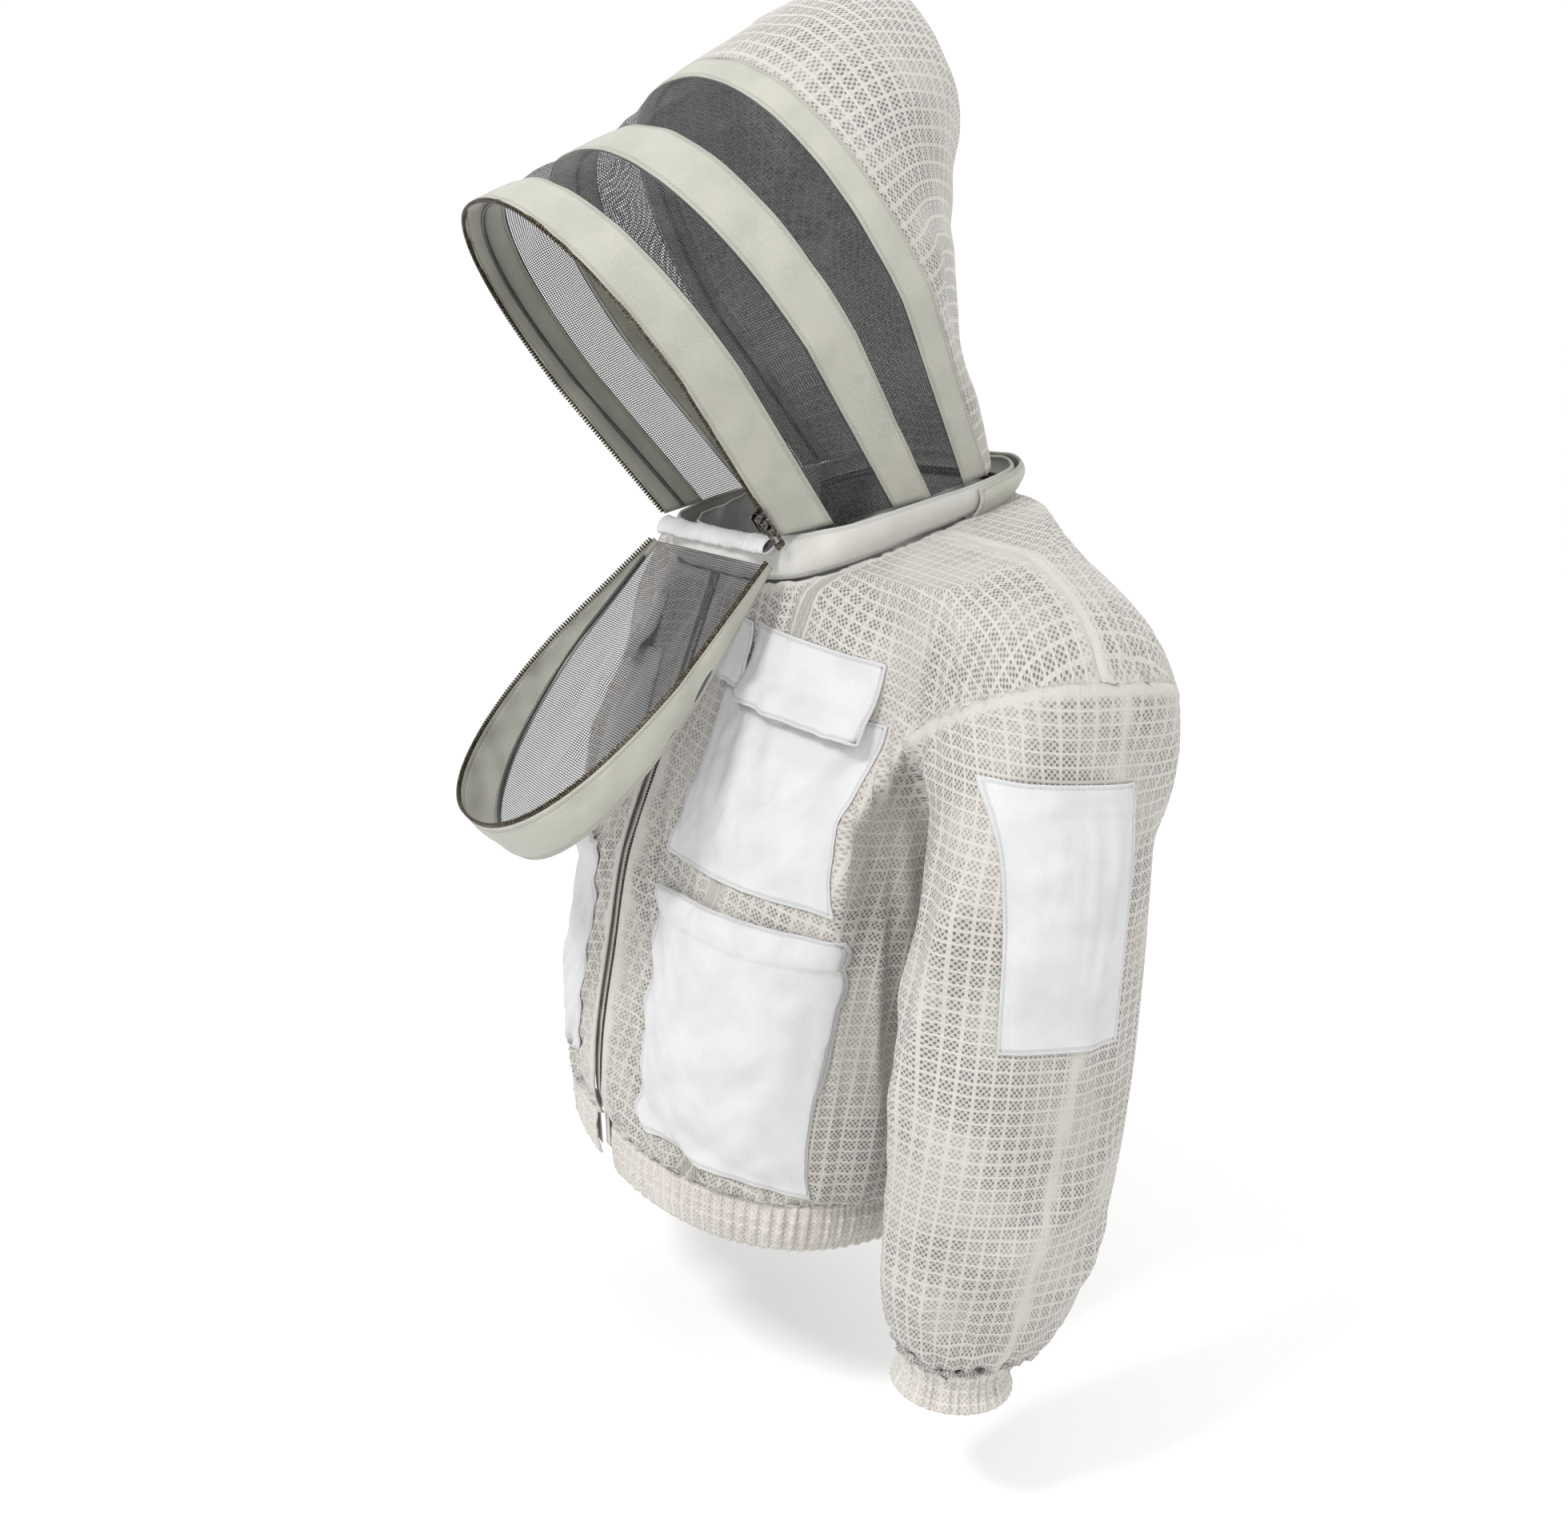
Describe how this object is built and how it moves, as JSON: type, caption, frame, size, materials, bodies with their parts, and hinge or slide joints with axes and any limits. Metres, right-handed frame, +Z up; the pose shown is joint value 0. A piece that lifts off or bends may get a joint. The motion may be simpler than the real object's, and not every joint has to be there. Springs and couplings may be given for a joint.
{
  "type": "ventilated beekeeping jacket with veil hood",
  "caption": "Ventilated mesh beekeeping jacket with a hooped fencing-veil hood, unzipping face veil, pockets, elastic cuffs and waistband, shown as worn.",
  "frame": {"origin": "centre of the neck opening, where the jacket sits round the wearer's neck", "axes": "+Z up the wearer's body, -Y the way the wearer faces, +X the wearer's left"},
  "size_m": [0.7439, 0.4547, 0.9988],
  "materials": {
    "vent_mesh": "three-layer ventilated mesh, small holes on a quilted grid",
    "gathered_mesh": "mesh cloth gathered over elastic",
    "cotton": "plain white cotton",
    "twill_tape": "cream polycotton twill",
    "black_net": "fine black veil netting",
    "hoop_wire": "spring-steel hoop",
    "zip_teeth": "antique brass",
    "zip_tape": "woven zip tape",
    "zip_slider": "dark nickel",
    "elastic": "knitted elastic",
    "hook_tape": "white hook-and-loop tape"
  },
  "bodies": {
    "jacket": {"front_panel_left": "vent_mesh", "front_panel_right": "vent_mesh", "back_panel": "vent_mesh", "waistband": "gathered_mesh", "waist_elastic": "elastic", "neck_zip_teeth_jacket": "zip_teeth", "inner_collar": "cotton", "collar_guard": "twill_tape", "front_zip_teeth_left": "zip_teeth", "front_zip_teeth_right": "zip_teeth", "front_zip_tape_left": "zip_tape", "front_zip_tape_right": "zip_tape", "front_zip_stops": "zip_teeth", "front_zip_retainer": "zip_teeth", "chest_pocket_left": "cotton", "chest_pocket_right": "cotton", "hip_pocket_left": "cotton", "hip_pocket_right": "cotton", "pocket_hook_tape_left": "hook_tape", "pocket_hook_tape_right": "hook_tape"},
    "chest_flap_left": {"chest_flap_left": "cotton", "flap_loop_tape_left": "hook_tape"},
    "chest_flap_right": {"chest_flap_right": "cotton", "flap_loop_tape_right": "hook_tape"},
    "pen_flap": {"pen_flap": "cotton"},
    "front_slider": {"front_zip_slider": "zip_slider"},
    "front_pull": {"front_zip_pull": "zip_slider"},
    "sleeve_left": {"sleeve_left": "vent_mesh", "cuff_left": "gathered_mesh", "cuff_elastic_left": "elastic", "sleeve_pocket": "cotton"},
    "sleeve_right": {"sleeve_right": "vent_mesh", "cuff_right": "gathered_mesh", "cuff_elastic_right": "elastic"},
    "hood": {"neck_zip_teeth_hood": "zip_teeth", "hood_hem": "twill_tape", "hood_band_front": "twill_tape", "hood_hoop_front": "hoop_wire", "hood_band_middle": "twill_tape", "hood_hoop_middle": "hoop_wire", "hood_band_rear": "twill_tape", "hood_hoop_rear": "hoop_wire", "veil_net_front": "black_net", "veil_net_rear": "black_net", "hood_crown_left": "vent_mesh", "hood_crown_right": "vent_mesh", "hood_seam_tape": "twill_tape", "veil_zip_teeth_hood": "zip_teeth"},
    "veil": {"veil_zip_teeth_flap": "zip_teeth", "flap_band": "twill_tape", "flap_net": "black_net", "flap_hoop": "hoop_wire", "flap_hem": "cotton"},
    "veil_slider": {"veil_zip_slider": "zip_slider"},
    "veil_pull": {"veil_zip_pull": "zip_slider"}
  },
  "joints": [
    {"name": "hood_fold", "type": "hinge", "parent": "jacket", "child": "hood", "pos_m": [0, 0.124, 0.03], "axis": [-1, 0, 0], "range_deg": [0, 95]},
    {"name": "veil_open", "type": "hinge", "parent": "hood", "child": "veil", "pos_m": [0, -0.106, -0.0305], "axis": [-1, 0, 0], "range_deg": [0, 94]},
    {"name": "veil_zip_slide", "type": "slide", "parent": "hood", "child": "veil_slider", "axis": [0.2043, -0.6731, 0.7108], "range_m": [0, 0.1]},
    {"name": "veil_zip_tab", "type": "hinge", "parent": "veil_slider", "child": "veil_pull", "pos_m": [0.11228, -0.12092, -0.02042], "axis": [0, -0.7261, -0.6876], "range_deg": [0, 150]},
    {"name": "front_zip_slide", "type": "slide", "parent": "jacket", "child": "front_slider", "axis": [0, -0.3001, -0.9539], "range_m": [0, 0.19]},
    {"name": "front_zip_tab", "type": "hinge", "parent": "front_slider", "child": "front_pull", "pos_m": [0, -0.10875, -0.08228], "axis": [-1, 0, 0], "range_deg": [0, 30]},
    {"name": "shoulder_left", "type": "hinge", "parent": "jacket", "child": "sleeve_left", "pos_m": [0.24, 0.03, -0.14], "axis": [0, -1, 0], "range_deg": [0, 60]},
    {"name": "shoulder_right", "type": "hinge", "parent": "jacket", "child": "sleeve_right", "pos_m": [-0.24, 0.03, -0.14], "axis": [0, 1, 0], "range_deg": [0, 60]},
    {"name": "chest_flap_left", "type": "hinge", "parent": "jacket", "child": "chest_flap_left", "pos_m": [0.084, -0.127, -0.097], "axis": [-0.9457, -0.2955, 0.1351], "range_deg": [0, 20]},
    {"name": "chest_flap_right", "type": "hinge", "parent": "jacket", "child": "chest_flap_right", "pos_m": [-0.084, -0.127, -0.097], "axis": [-0.9457, 0.2955, -0.1351], "range_deg": [0, 20]},
    {"name": "pen_flap", "type": "hinge", "parent": "jacket", "child": "pen_flap", "pos_m": [0.054, -0.128, -0.093], "axis": [-0.9868, -0.0569, 0.1518], "range_deg": [0, 15]}
  ]
}
